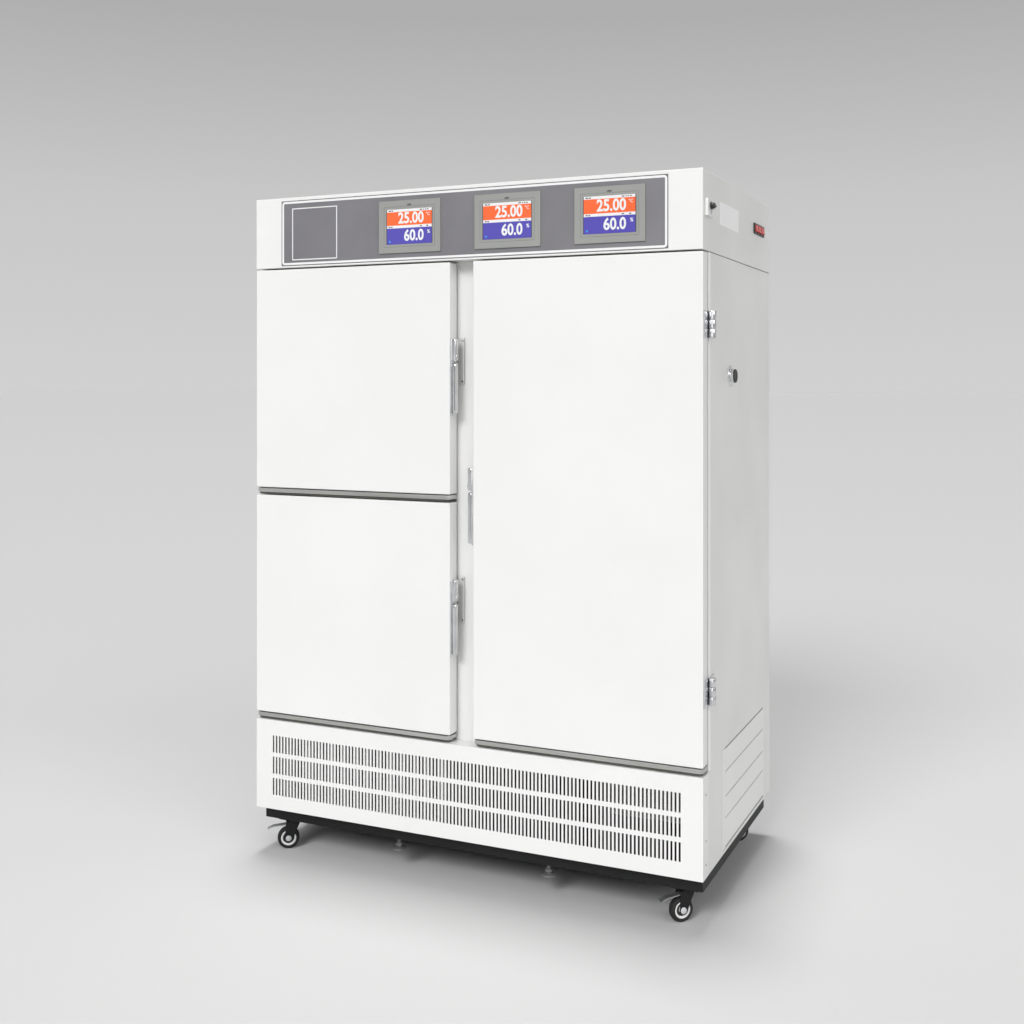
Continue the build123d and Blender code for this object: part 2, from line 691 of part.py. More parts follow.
# casters: fork with swivel head, wheel on its axle, brake pedal on the front pair
casters = {
    "front_left": (caster_shift - caster_x, -caster_y, 215.0),
    "front_right": (caster_shift + caster_x, -caster_y, 227.0),
    "rear_left": (caster_shift - caster_x, caster_y, 215.0),
    "rear_right": (caster_shift + caster_x, caster_y, 227.0),
}
head_top = caster_height - plate_h - air
pedal_z = caster_height - 22.5
reach = trail + wheel_r
leg_in = wheel_w / 2 + 1.2
leg_t = 2.5
for key, (x, y, turn) in casters.items():
    place = Plane(Location((x, y, 0), (0, 0, turn)))
    upright = Plane(origin=(x, y, 0), x_dir=place.x_dir, z_dir=-place.y_dir)
    with BuildPart() as fork:
        with BuildSketch(place.offset(head_top - 8)):
            Circle(23)
        extrude(amount=8)
        with BuildSketch(place.offset(head_top - 10)):
            with Locations((8, 0)):
                Rectangle(44, 2 * (leg_in + leg_t))
        extrude(amount=3)
        for s in (-1, 1):
            with BuildSketch(upright.offset(s * (leg_in + leg_t / 2) - leg_t / 2)):
                with BuildLine():
                    Polyline((-14, head_top - 8), (30, head_top - 8), (trail + 11, wheel_r - 4),
                             (trail + 5, wheel_r - 10), (trail - 5, wheel_r - 10),
                             (trail - 11, wheel_r - 4), close=True)
                make_face()
            extrude(amount=leg_t)
        with BuildSketch(upright.offset(-leg_in - leg_t - 2)):
            with Locations((trail, wheel_r)):
                Circle(4)
        extrude(amount=2 * (leg_in + leg_t) + 4)
        with BuildSketch(place.offset(head_top - 12)):
            Circle(5 + fit)
        extrude(amount=20, mode=Mode.SUBTRACT)
        if key.startswith("front"):
            with BuildSketch(upright.offset(-40)):
                with Locations((-4, pedal_z + 1.5)):
                    Circle(2 + fit)
            extrude(amount=80, mode=Mode.SUBTRACT)
    save("caster_fork_" + key, fork.part)

    with BuildPart() as wheel:
        with BuildSketch(upright.offset(-wheel_w / 2)):
            with Locations((trail, wheel_r)):
                Circle(wheel_r)
        extrude(amount=wheel_w)
        chamfer(wheel.edges(), length=3)
        with BuildSketch(upright.offset(-wheel_w)):
            with Locations((trail, wheel_r)):
                Circle(4 + fit)
        extrude(amount=2 * wheel_w, mode=Mode.SUBTRACT)
    save("caster_wheel_" + key, wheel.part)

    if key.startswith("front"):
        with BuildPart() as pedal:
            with BuildSketch(upright.offset(-10)):
                with BuildLine():
                    Polyline((-7, pedal_z), (-7, pedal_z + 3), (28, pedal_z + 3),
                             (reach + 15.5, pedal_z - 1.5), (reach + 29.5, pedal_z - 8.5),
                             (reach + 28.1, pedal_z - 10.5), (reach + 14.5, pedal_z - 4.5),
                             (28, pedal_z), close=True)
                make_face()
            extrude(amount=20)
            with BuildSketch(upright.offset(-leg_in - leg_t)):
                with Locations((-4, pedal_z + 1.5)):
                    Circle(2)
            extrude(amount=2 * (leg_in + leg_t))
        save("brake_pedal_" + key, pedal.part)

# levelling feet: pad on a screw through the front and rear rails
feet = []
for x in (-foot_x, foot_x):
    for y in (-foot_y, foot_y):
        with BuildPart() as foot:
            with Locations((x, y, foot_lift + 4)):
                Cylinder(20, 8)
            with Locations((x, y, foot_lift + 38)):
                Cylinder(6, 68)
        feet.append(foot.part)
save("levelling_feet", *feet)
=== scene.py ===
import bpy
import bmesh
from math import radians, pi, cos, sin
from mathutils import Matrix, Vector


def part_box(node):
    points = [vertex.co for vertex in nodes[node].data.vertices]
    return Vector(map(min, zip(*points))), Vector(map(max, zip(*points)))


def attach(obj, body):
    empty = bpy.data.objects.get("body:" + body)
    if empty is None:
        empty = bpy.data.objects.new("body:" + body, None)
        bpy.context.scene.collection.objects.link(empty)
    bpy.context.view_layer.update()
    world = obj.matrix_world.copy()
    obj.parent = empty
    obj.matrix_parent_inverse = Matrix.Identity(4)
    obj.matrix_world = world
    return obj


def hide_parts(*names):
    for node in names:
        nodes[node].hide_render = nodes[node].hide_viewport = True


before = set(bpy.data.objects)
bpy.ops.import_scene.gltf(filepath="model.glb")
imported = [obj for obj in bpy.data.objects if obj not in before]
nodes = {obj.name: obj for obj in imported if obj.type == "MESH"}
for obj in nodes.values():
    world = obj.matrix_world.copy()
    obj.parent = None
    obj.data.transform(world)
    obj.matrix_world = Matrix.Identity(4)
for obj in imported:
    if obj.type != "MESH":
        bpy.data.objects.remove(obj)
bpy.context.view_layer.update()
scene = bpy.context.scene

# camera at the photograph's angle: standing to the right of the cabinet's front
camera = bpy.data.objects.new("studio_camera", bpy.data.cameras.new("studio_camera"))
scene.collection.objects.link(camera)
camera.location = (1.512, -3.396, 1.392)
camera.rotation_euler = (radians(90), 0, radians(24.26))
camera.data.sensor_width = 36.0
camera.data.lens = 43.2
camera.data.shift_y = -0.1267
camera.data.clip_end = 200
scene.camera = camera
scene.view_settings.view_transform = "Standard"


# finishes
def finish(name, colour, roughness, metallic=0.0, **sockets):
    mat = bpy.data.materials.new(name)
    mat.use_nodes = True
    tree = mat.node_tree
    shader = tree.nodes["Principled BSDF"]
    shader.inputs["Base Color"].default_value = (*colour, 1)
    shader.inputs["Roughness"].default_value = roughness
    shader.inputs["Metallic"].default_value = metallic
    for key, value in sockets.items():
        shader.inputs[key.replace("_", " ")].default_value = value
    return mat, tree, shader


def place_nodes(tree, stretch):
    coords = tree.nodes.new("ShaderNodeTexCoord")
    mapping = tree.nodes.new("ShaderNodeMapping")
    mapping.inputs["Scale"].default_value = stretch
    tree.links.new(coords.outputs["Object"], mapping.inputs["Vector"])
    return mapping.outputs["Vector"]


def noise(tree, vector, scale, detail):
    node = tree.nodes.new("ShaderNodeTexNoise")
    node.inputs["Scale"].default_value = scale
    node.inputs["Detail"].default_value = detail
    tree.links.new(vector, node.inputs["Vector"])
    return node.outputs["Fac"]


def tint(tree, shader, fac, low, high, start=0.3, stop=0.7):
    ramp = tree.nodes.new("ShaderNodeValToRGB")
    ramp.color_ramp.elements[0].position = start
    ramp.color_ramp.elements[1].position = stop
    ramp.color_ramp.elements[0].color = (*low, 1)
    ramp.color_ramp.elements[1].color = (*high, 1)
    tree.links.new(fac, ramp.inputs["Fac"])
    tree.links.new(ramp.outputs["Color"], shader.inputs["Base Color"])


def roughen(tree, shader, fac, low, high):
    span = tree.nodes.new("ShaderNodeMapRange")
    span.inputs["To Min"].default_value = low
    span.inputs["To Max"].default_value = high
    tree.links.new(fac, span.inputs["Value"])
    tree.links.new(span.outputs["Result"], shader.inputs["Roughness"])


def raise_grain(tree, shader, fac, strength, distance):
    bump = tree.nodes.new("ShaderNodeBump")
    bump.inputs["Strength"].default_value = strength
    bump.inputs["Distance"].default_value = distance
    tree.links.new(fac, bump.inputs["Height"])
    tree.links.new(bump.outputs["Normal"], shader.inputs["Normal"])


def grained(name, low, high, rough, grain, depth, metallic=0.0, stretch=(1, 1, 1), cloud=2.0, **sockets):
    mat, tree, shader = finish(name, high, rough[0], metallic, **sockets)
    vector = place_nodes(tree, stretch)
    tint(tree, shader, noise(tree, vector, cloud, 4), low, high)
    fine = noise(tree, vector, grain, 2)
    roughen(tree, shader, fine, *rough)
    raise_grain(tree, shader, fine, 0.25, depth)
    return mat


powder_white = grained("powder_white", (0.80, 0.80, 0.785), (0.84, 0.84, 0.83), (0.28, 0.4), 420, 0.0002,
                       Coat_Weight=0.15)
# a darker copy of the white powder paint for the sides, back and header housing: painted shade
powder_painted_shade = grained("powder_painted_shade", (0.72, 0.725, 0.695), (0.80, 0.80, 0.78), (0.26, 0.38), 420, 0.0002,
                      cloud=3.2, Coat_Weight=0.2)
frame_black = grained("frame_black", (0.004, 0.004, 0.0045), (0.010, 0.010, 0.011), (0.45, 0.65), 300,
                      0.0003, Specular_IOR_Level=0.25)
sheet_steel = grained("sheet_steel", (0.44, 0.44, 0.42), (0.62, 0.62, 0.60), (0.25, 0.42), 160, 0.0001, 1.0,
                      stretch=(0.4, 0.4, 9), cloud=6)
chrome = grained("chrome", (0.62, 0.625, 0.64), (0.76, 0.765, 0.78), (0.07, 0.17), 500, 0.00005, 1.0,
                 cloud=30)
zinc = grained("zinc_plate", (0.36, 0.37, 0.38), (0.52, 0.53, 0.54), (0.3, 0.5), 200, 0.0002, 0.9, cloud=25)
strike_grey = grained("strike_grey", (0.58, 0.58, 0.57), (0.70, 0.70, 0.69), (0.3, 0.45), 260, 0.0003, 0.35)
# bright white for the blank label, also used as a painted highlight on the side panels' front edges
label_and_edge_highlight_white = grained("label_and_edge_highlight_white", (0.90, 0.90, 0.90), (0.94, 0.94, 0.94), (0.35, 0.5), 500, 0.00005)
foam_cream = grained("foam_cream", (0.55, 0.47, 0.28), (0.72, 0.64, 0.42), (0.8, 0.95), 350, 0.001)
seal_rubber = grained("seal_rubber", (0.012, 0.012, 0.012), (0.03, 0.03, 0.03), (0.55, 0.75), 350, 0.0004)
slat_shadow = grained("slat_shadow", (0.26, 0.26, 0.245), (0.34, 0.34, 0.325), (0.6, 0.8), 350, 0.0003)
# dark grey for the door's bottom rubber strip, also used as painted shade behind the cabinet's seams
rubber_and_seam_shade = grained("rubber_and_seam_shade", (0.05, 0.05, 0.042), (0.10, 0.10, 0.085), (0.6, 0.8), 350, 0.0003)
fascia_grey = grained("fascia_grey", (0.165, 0.160, 0.172), (0.205, 0.200, 0.215), (0.35, 0.5), 900, 0.0001,
                      cloud=5)
ink_white = grained("ink_white", (0.80, 0.80, 0.80), (0.86, 0.86, 0.86), (0.35, 0.5), 700, 0.00005)
ink_dark = grained("ink_dark", (0.085, 0.09, 0.10), (0.11, 0.115, 0.125), (0.35, 0.5), 700, 0.00005)
bezel_grey = grained("bezel_grey", (0.27, 0.275, 0.258), (0.315, 0.32, 0.305), (0.4, 0.55), 1200, 0.00015)
bezel_dark = grained("bezel_dark", (0.05, 0.05, 0.05), (0.09, 0.09, 0.09), (0.4, 0.6), 900, 0.0001)
display_orange = grained("display_orange", (0.90, 0.135, 0.035), (0.95, 0.165, 0.05), (0.2, 0.3), 900,
                         0.00002)
display_violet = grained("display_violet", (0.085, 0.068, 0.40), (0.10, 0.085, 0.46), (0.2, 0.3), 900,
                         0.00002)
display_white = grained("display_white", (0.78, 0.79, 0.80), (0.88, 0.88, 0.88), (0.2, 0.3), 900, 0.00002)
display_blue = grained("display_blue", (0.03, 0.30, 0.72), (0.05, 0.38, 0.85), (0.2, 0.3), 900, 0.00002)
switch_black = grained("switch_black", (0.010, 0.010, 0.010), (0.025, 0.025, 0.025), (0.3, 0.45), 900,
                       0.0001)
rocker_red = grained("rocker_red", (0.62, 0.035, 0.025), (0.78, 0.06, 0.04), (0.18, 0.3), 600, 0.00005)
socket_white = grained("socket_white", (0.74, 0.74, 0.73), (0.82, 0.82, 0.81), (0.3, 0.42), 700, 0.0001)
plug_silicone = grained("plug_silicone", (0.012, 0.012, 0.012), (0.03, 0.03, 0.03), (0.45, 0.65), 500,
                        0.0002)
tread_rubber = grained("tread_rubber", (0.008, 0.008, 0.008), (0.022, 0.021, 0.020), (0.55, 0.8), 260,
                       0.0004, Specular_IOR_Level=0.3)
rim_white = grained("rim_white", (0.66, 0.66, 0.65), (0.80, 0.80, 0.79), (0.3, 0.45), 500, 0.0001)
hub_grey = grained("hub_grey", (0.42, 0.43, 0.44), (0.60, 0.61, 0.62), (0.25, 0.4), 500, 0.0001)
foot_grey = grained("foot_grey", (0.10, 0.10, 0.10), (0.20, 0.20, 0.20), (0.4, 0.55), 400, 0.0002, 0.3)
coil_alu = grained("coil_alu", (0.50, 0.51, 0.52), (0.68, 0.69, 0.70), (0.3, 0.5), 220, 0.0003, 0.95,
                   stretch=(12, 1, 1))
pump_black = grained("pump_black", (0.010, 0.010, 0.011), (0.024, 0.024, 0.026), (0.35, 0.55), 200, 0.0003)
board_green = grained("board_green", (0.02, 0.10, 0.045), (0.035, 0.16, 0.07), (0.4, 0.6), 500, 0.0002)
tank_white = grained("tank_white", (0.62, 0.63, 0.62), (0.76, 0.77, 0.75), (0.35, 0.5), 300, 0.0002)


# mesh helpers
sharp_angle = radians(35)


def cube(bm, low, high, bevel=0.0, segments=2):
    low, high = Vector(low), Vector(high)
    size = high - low
    made = bmesh.ops.create_cube(
        bm, size=1.0, matrix=Matrix.Translation((low + high) / 2) @ Matrix.Diagonal((*size, 1)))
    if bevel:
        edges = list({edge for vert in made["verts"] for edge in vert.link_edges})
        bmesh.ops.bevel(bm, geom=edges, offset=bevel, segments=segments, profile=0.5, affect="EDGES",
                        material=-1, clamp_overlap=True)


def side_cube(bm, side, near, far, low_yz, high_yz, bevel=0.0, segments=2):
    low, high = sorted((side * near, side * far))
    cube(bm, (low, *low_yz), (high, *high_yz), bevel, segments)


def facing(axis):
    return Vector((0, 0, 1)).rotation_difference(Vector(axis)).to_matrix().to_4x4()


def drum(bm, centre, axis, radius, depth, segments, bevel=0.0, rows=2):
    made = bmesh.ops.create_cone(
        bm, cap_ends=True, cap_tris=False, segments=segments, radius1=radius, radius2=radius, depth=depth,
        matrix=Matrix.Translation(centre) @ facing(axis))
    if bevel:
        edges = {edge for vert in made["verts"] for edge in vert.link_edges}
        rims = [edge for edge in edges if any(len(face.verts) > 4 for face in edge.link_faces)]
        bmesh.ops.bevel(bm, geom=rims, offset=bevel, segments=rows, profile=0.5, affect="EDGES",
                        material=-1, clamp_overlap=True)


def turned(bm, centre, axis, profile, steps):
    turn = Matrix.Translation(centre) @ facing(axis)
    ring = [bm.verts.new(turn @ Vector((radius, 0, height))) for radius, height in profile]
    edges = [bm.edges.new((a, b)) for a, b in zip(ring, ring[1:])]
    bmesh.ops.spin(bm, geom=ring + edges, cent=centre, axis=Vector(axis), dvec=(0, 0, 0), angle=2 * pi,
                   steps=steps, use_merge=True)
    bmesh.ops.remove_doubles(bm, verts=bm.verts[:], dist=1e-6)


def pulled(bm, points, direction, bevel=0.0, segments=2):
    face = bm.faces.new([bm.verts.new(point) for point in points])
    made = bmesh.ops.extrude_face_region(bm, geom=[face])
    top = [item for item in made["geom"] if isinstance(item, bmesh.types.BMVert)]
    bmesh.ops.translate(bm, verts=top, vec=direction)
    if bevel:
        verts = set(top) | set(face.verts)
        edges = list({edge for vert in verts for edge in vert.link_edges})
        bmesh.ops.bevel(bm, geom=edges, offset=bevel, segments=segments, profile=0.5, affect="EDGES",
                        material=-1, clamp_overlap=True)


def outline(bm, low_x, high_x, low_z, high_z, y, band, corner, proud, edge=0.0):
    corners = [(low_x, y, low_z), (high_x, y, low_z), (high_x, y, high_z), (low_x, y, high_z)]
    verts = [bm.verts.new(point) for point in corners]
    inside = bm.faces.new(verts)
    # the inset below needs the fresh face's normal
    bm.normal_update()
    if corner:
        made = bmesh.ops.bevel(
            bm, geom=verts, offset=corner, segments=5, profile=0.5, affect="VERTICES", material=-1)
        around = {face for vert in made["verts"] for face in vert.link_faces}
        inside = max(around, key=lambda face: face.calc_area())
    ring = bmesh.ops.inset_region(
        bm, faces=[inside], thickness=band, depth=0, use_even_offset=True, use_boundary=True)["faces"]
    ring = [face for face in ring if face != inside]
    bmesh.ops.delete(bm, geom=[inside], context="FACES")
    made = bmesh.ops.extrude_face_region(bm, geom=ring)
    top = [item for item in made["geom"] if isinstance(item, bmesh.types.BMVert)]
    fronts = {item for item in made["geom"] if isinstance(item, bmesh.types.BMFace)}
    bmesh.ops.translate(bm, verts=top, vec=(0, -proud, 0))
    if edge:
        rims = {item for face in fronts for item in face.edges
                if sum(other in fronts for other in item.link_faces) == 1}
        bmesh.ops.bevel(bm, geom=list(rims), offset=edge, segments=2, profile=0.5, affect="EDGES",
                        material=-1)


def piece(name, bm, mat, body, slot, *stands_for, moved=None):
    if moved is not None:
        bmesh.ops.transform(bm, matrix=moved, verts=bm.verts[:])
    bmesh.ops.recalc_face_normals(bm, faces=bm.faces[:])
    mesh = bpy.data.meshes.new(name)
    bm.to_mesh(mesh)
    bm.free()
    for face in mesh.polygons:
        face.use_smooth = True
    mesh.set_sharp_from_angle(angle=sharp_angle)
    made = bpy.data.objects.new(name, mesh)
    scene.collection.objects.link(made)
    mesh.materials.append(mat)
    # sheets and mouldings get evenly shaded faces, chrome keeps the soft shading across its bevels
    if mat != chrome:
        flat = made.modifiers.new("flat_faces", "WEIGHTED_NORMAL")
        flat.keep_sharp = True
    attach(made, body)
    if stands_for:
        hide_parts(*stands_for)


def slab(name, low, high, mat, body, slot, *stands_for, bevel=0.0, segments=2):
    bm = bmesh.new()
    cube(bm, low, high, bevel, segments)
    piece(name, bm, mat, body, slot, *stands_for)


def letters(name, text, centre, size, mat, body, width, bold):
    curve = bpy.data.curves.new(name, "FONT")
    curve.body = text
    curve.size = size
    curve.align_x = "RIGHT"
    curve.align_y = "CENTER"
    curve.offset = bold
    curve.extrude = 0.00012
    curve.resolution_u = 3
    source = bpy.data.objects.new(name + "_source", curve)
    scene.collection.objects.link(source)
    mesh = bpy.data.meshes.new_from_object(source)
    bpy.data.objects.remove(source)
    mesh.transform(
        Matrix.Translation(centre) @ Matrix.Rotation(pi / 2, 4, "X") @ Matrix.Diagonal((width, 1, 1, 1)))
    mesh.materials.clear()
    mesh.materials.append(mat)
    made = bpy.data.objects.new(name, mesh)
    scene.collection.objects.link(made)
    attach(made, body)


def repaint(mat, *names):
    for name in names:
        mesh = nodes[name].data
        mesh.materials.clear()
        mesh.materials.append(mat)


# main sizes in metres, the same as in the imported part
half_w = 0.680
half_d = 0.380
panel_inner_x = 0.678
panel_inner_y = 0.378
face_y = -0.330
body_z = 0.133
base_top = 0.395
header_z = 1.727
top_z = 1.933

# nodes that keep their CAD shape
repaint(frame_black, "base_frame")
repaint(powder_white, "front_frame", "front_grille")
repaint(sheet_steel, "liner_upper_left", "liner_lower_left", "liner_right", "shelves", "duct_covers")
repaint(foam_cream, "insulation")
repaint(coil_alu, "air_coils", "condenser", "fan_upper_left", "fan_lower_left", "fan_right")
repaint(zinc, "fan_motors")
repaint(pump_black, "compressors", "fan_condenser")
repaint(tank_white, "water_tank")
repaint(board_green, "electronics")
repaint(rocker_red, "rocker_front", "rocker_middle", "rocker_rear")

# outer shell: side panels with a rear corner post, back panel with spacers, all in a darker copy of the
# white paint as painted shade
panel_top = header_z - 0.0015
post_y = 0.340
spacer_y = 0.383
bm = bmesh.new()
for side in (-1, 1):
    side_cube(bm, side, half_w - 0.002, half_w, (face_y, body_z), (post_y - 0.0015, panel_top), 0.0006)
    side_cube(bm, side, half_w - 0.002, half_w, (post_y, body_z), (half_d, panel_top), 0.0006)
cube(bm, (-panel_inner_x, panel_inner_y, body_z), (panel_inner_x, half_d, panel_top), 0.0006)
for x in (-0.6, 0.6):
    for z in (0.28, 1.58):
        drum(bm, (x, spacer_y, z), (0, 1, 0), 0.02, 0.006, 32, 0.0015)
piece("shell_panels", bm, powder_painted_shade, "cabinet", "white_paint", "outer_shell")

# painted shade: dark strips behind the seams of the corner posts and under the header
seam_low = header_z - 0.006
seam_high = header_z - 0.0002
bm = bmesh.new()
for side in (-1, 1):
    side_cube(bm, side, half_w - 0.0045, half_w - 0.0021, (0.33, body_z + 0.002), (0.35, header_z - 0.003))
    side_cube(bm, side, half_w - 0.012, half_w - 0.0012, (-0.326, seam_low), (0.376, seam_high))
cube(bm, (-0.67, 0.366, seam_low), (0.67, 0.3788, seam_high))
piece("seam_shadow", bm, rubber_and_seam_shade, "cabinet", "gasket")

# service panels: louvre slats over the machine compartment, one on each side
slat_edges = (0.149, 0.225, 0.283, 0.349, 0.411)
border_low = 0.146
border_high = 0.413
bm = bmesh.new()
back = bmesh.new()
for side in (-1, 1):
    for low_z, high_z in zip(slat_edges, slat_edges[1:]):
        side_cube(bm, side, half_w, half_w + 0.0015, (-0.160, low_z + 0.0015), (0.284, high_z - 0.0012),
                  0.0006)
    for low_y, high_y in ((-0.187, -0.1615), (0.2855, 0.294)):
        side_cube(bm, side, half_w, half_w + 0.0012, (low_y, border_low), (high_y, border_high), 0.0005)
    side_cube(back, side, half_w, half_w + 0.0003, (-0.1865, 0.1435), (0.2935, 0.4135))
    for y in (-0.11, 0.18):
        drum(bm, (side * (half_w + 0.0006), y, 0.424), (side, 0, 0), 0.0042, 0.0012, 20, 0.0005)
piece("service_slats", bm, powder_white, "cabinet", "white_paint")
piece("service_shadow", back, slat_shadow, "cabinet", "gasket")

# header: housing in a darker copy of the white paint as painted shade, its front brighter in the plain white
# paint, and on its right side the limiter box and a blank plate
slab("header_cover", (-half_w, -half_d, header_z + 0.0005), (half_w, half_d, top_z), powder_painted_shade,
     "cabinet", "white_paint", "header_housing", bevel=0.0022, segments=3)
slab("header_front", (-half_w + 0.001, -half_d - 0.0004, header_z + 0.0015),
     (half_w - 0.0012, -half_d + 0.004, top_z - 0.0015), powder_white, "cabinet", "white_paint",
     bevel=0.0003)
box_depth = 0.009
knob_y = -0.337
slab("limiter_box", (half_w, -0.364, 1.814), (half_w + box_depth, -0.310, 1.858), socket_white,
     "cabinet", "white_paint", bevel=0.0016, segments=3)
bm = bmesh.new()
turned(bm, (half_w + box_depth, knob_y, 1.8235), (1, 0, 0),
       ((0, 0.0026), (0.0035, 0.0024), (0.005, 0.001), (0.005, -0.001), (0, -0.001)), 24)
piece("limiter_reset", bm, chrome, "cabinet", "chrome")
slab("blank_plate", (half_w, -0.215, 1.808), (half_w + 0.0006, -0.014, 1.869), label_and_edge_highlight_white, "cabinet",
     "white_paint", bevel=0.0003, segments=1)

# folded front edges of the side panels, given the brighter label white as a painted highlight, and the back
# panel's screws
bm = bmesh.new()
for side in (-1, 1):
    side_cube(bm, side, half_w - 0.004, half_w + 0.0008, (face_y + 0.0004, base_top + 0.003),
              (face_y + 0.018, header_z - 0.003), 0.0008, 2)
piece("folded_edges_painted_highlight", bm, label_and_edge_highlight_white, "cabinet", "white_paint")
bm = bmesh.new()
for x in (-0.655, -0.328, 0.0, 0.328, 0.655):
    for z in (0.150, 0.93, 1.705):
        drum(bm, (x, half_d + 0.0006, z), (0, 1, 0), 0.0045, 0.0016, 20, 0.0006)
piece("back_screws", bm, zinc, "cabinet", "galvanised")

# fascia: grey overlay with a white border and an empty square frame
fascia_x = 0.5895
fascia_low = 1.733
fascia_high = 1.923
fascia_y = -half_d - 0.0010
slab("fascia_overlay", (-fascia_x, fascia_y, fascia_low), (fascia_x, -half_d - 0.0004, fascia_high),
     fascia_grey, "cabinet", "fascia", "fascia_panel")
fascia_lines = (
    ("fascia_border", -0.5872, 0.5872, 1.7353, 1.9207, 0.0062, 0.009, ink_white, "white_paint"),
    ("fascia_hairline", -fascia_x, fascia_x, fascia_low, fascia_high, 0.0023, 0.010, ink_dark, "fascia"),
    ("fascia_square", -0.5525, -0.3985, 1.7485, 1.9005, 0.0030, 0.0012, ink_white, "white_paint"))
for name, low_x, high_x, low_z, high_z, band, corner, ink, slot in fascia_lines:
    bm = bmesh.new()
    outline(bm, low_x, high_x, low_z, high_z, fascia_y, band, corner, 0.0002)
    piece(name, bm, ink, "cabinet", slot)

# controllers: bezel, recessed edge, display fields and generic readings
controller_x = (-0.160, 0.140, 0.432)
controller_z = 1.828
bezel_x, bezel_z = 0.0975, 0.0735
lip_x, lip_z = 0.0805, 0.0565
core_x, core_z = 0.092, 0.068
recess_x, recess_z = 0.0735, 0.0515
display_x, display_z = 0.071, 0.049
orange_top = 0.0415
orange_low = 0.0035
violet_top = -0.0040
front = -half_d - 0.0054
mark_rows = (
    (0.0435, 0.0465, ((-0.066, -0.058), (-0.056, -0.051), (0.034, 0.041), (0.044, 0.047), (0.050, 0.054),
                      (0.057, 0.061))),
    (-0.0020, 0.0010, ((-0.066, -0.060), (-0.058, -0.053), (0.034, 0.040), (0.054, 0.060))))
readings = (("upper", "25.00", 0.0225, "°C", 0.0315, 0.0125, 0.0001),
            ("lower", "60.0", -0.0265, "%", -0.0175, 0.0135, 0.0003))
bezel = bmesh.new()
edge = bmesh.new()
lip = bmesh.new()
glass = bmesh.new()
orange = bmesh.new()
violet = bmesh.new()
strips = bmesh.new()
marks = bmesh.new()
dots = bmesh.new()
for x in controller_x:
    z = controller_z
    outline(bezel, x - bezel_x, x + bezel_x, z - bezel_z, z + bezel_z, front + 0.0052, 0.0242, 0, 0.0052,
            0.0009)
    outline(lip, x - lip_x, x + lip_x, z - lip_z, z + lip_z, front + 0.0002, 0.0006, 0.0016, 0.0003)
    cube(bezel, (x - core_x, front + 0.005, z - core_z), (x + core_x, front + 0.047, z + core_z), 0.001)
    cube(edge, (x - recess_x, front + 0.0012, z - recess_z), (x + recess_x, front + 0.003, z + recess_z))
    cube(glass, (x - display_x, front + 0.0008, z - display_z),
         (x + display_x, front + 0.0014, z + display_z), 0.0002, 1)
    field_y = front + 0.0004
    mark_y = field_y - 0.0002
    for field, low_z, high_z in ((strips, orange_top, display_z), (orange, orange_low, orange_top),
                                 (strips, violet_top, orange_low), (violet, -display_z, violet_top)):
        cube(field, (x - display_x, field_y, z + low_z), (x + display_x, front + 0.0010, z + high_z))
    for low_z, high_z, row in mark_rows:
        for low_x, high_x in row:
            cube(marks, (x + low_x, mark_y, z + low_z), (x + high_x, field_y, z + high_z))
    drum(marks, (x, front - 0.0002, z + 0.0605), (0, -1, 0), 0.0030, 0.0008, 20, 0.0002, 1)
    cube(marks, (x - 0.0075, front - 0.0002, z + 0.0590), (x + 0.0075, front + 0.0004, z + 0.0620),
         0.0002, 1)
    drum(dots, (x - 0.062, field_y - 0.0001, z - 0.041), (0, -1, 0), 0.0028, 0.0004, 20)
    tag = str(int(round((x + 0.5) * 1000)))
    for row, number, number_z, unit, unit_z, unit_size, unit_bold in readings:
        letters("reading_" + row + "_" + tag, number, (x + 0.046, mark_y, z + number_z), 0.0425,
                display_white, "cabinet", 0.86, 0.0012)
        letters("unit_" + row + "_" + tag, unit, (x + 0.0655, mark_y, z + unit_z), unit_size,
                display_white, "cabinet", 0.95, unit_bold)
piece("bezel_frames", bezel, bezel_grey, "cabinet", "bezel", "controller_bezels")
piece("bezel_edges", edge, bezel_dark, "cabinet", "bezel")
piece("bezel_lines", lip, bezel_dark, "cabinet", "bezel")
piece("display_glass", glass, bezel_dark, "cabinet", "screen", "controller_screens")
piece("display_strips", strips, display_white, "cabinet", "screen")
piece("display_orange_field", orange, display_orange, "cabinet", "screen")
piece("display_violet_field", violet, display_violet, "cabinet", "screen")
piece("display_marks", marks, bezel_dark, "cabinet", "screen")
piece("display_dots", dots, display_blue, "cabinet", "screen")

# switch frame around the three rockers: four uprights, two rails and a back plate
switch_y = 0.230
switch_z = 1.843
switch_half = 0.063
opening_half = 0.0112
bm = bmesh.new()
for low_y, high_y in ((-switch_half, -0.0535), (-0.0225, -0.0155), (0.0155, 0.0225), (0.0535, switch_half)):
    side_cube(bm, 1, half_w - 0.008, half_w + 0.004, (switch_y + low_y, switch_z - opening_half),
              (switch_y + high_y, switch_z + opening_half), 0.0006)
for low_z, high_z in ((-0.0155, -opening_half), (opening_half, 0.0155)):
    side_cube(bm, 1, half_w - 0.008, half_w + 0.004, (switch_y - switch_half, switch_z + low_z),
              (switch_y + switch_half, switch_z + high_z), 0.0008)
side_cube(bm, 1, half_w - 0.016, half_w - 0.0135, (switch_y - 0.060, switch_z - 0.0125),
          (switch_y + 0.060, switch_z + 0.0125))
piece("switch_frame", bm, switch_black, "cabinet", "black_plastic", "switch_housing")

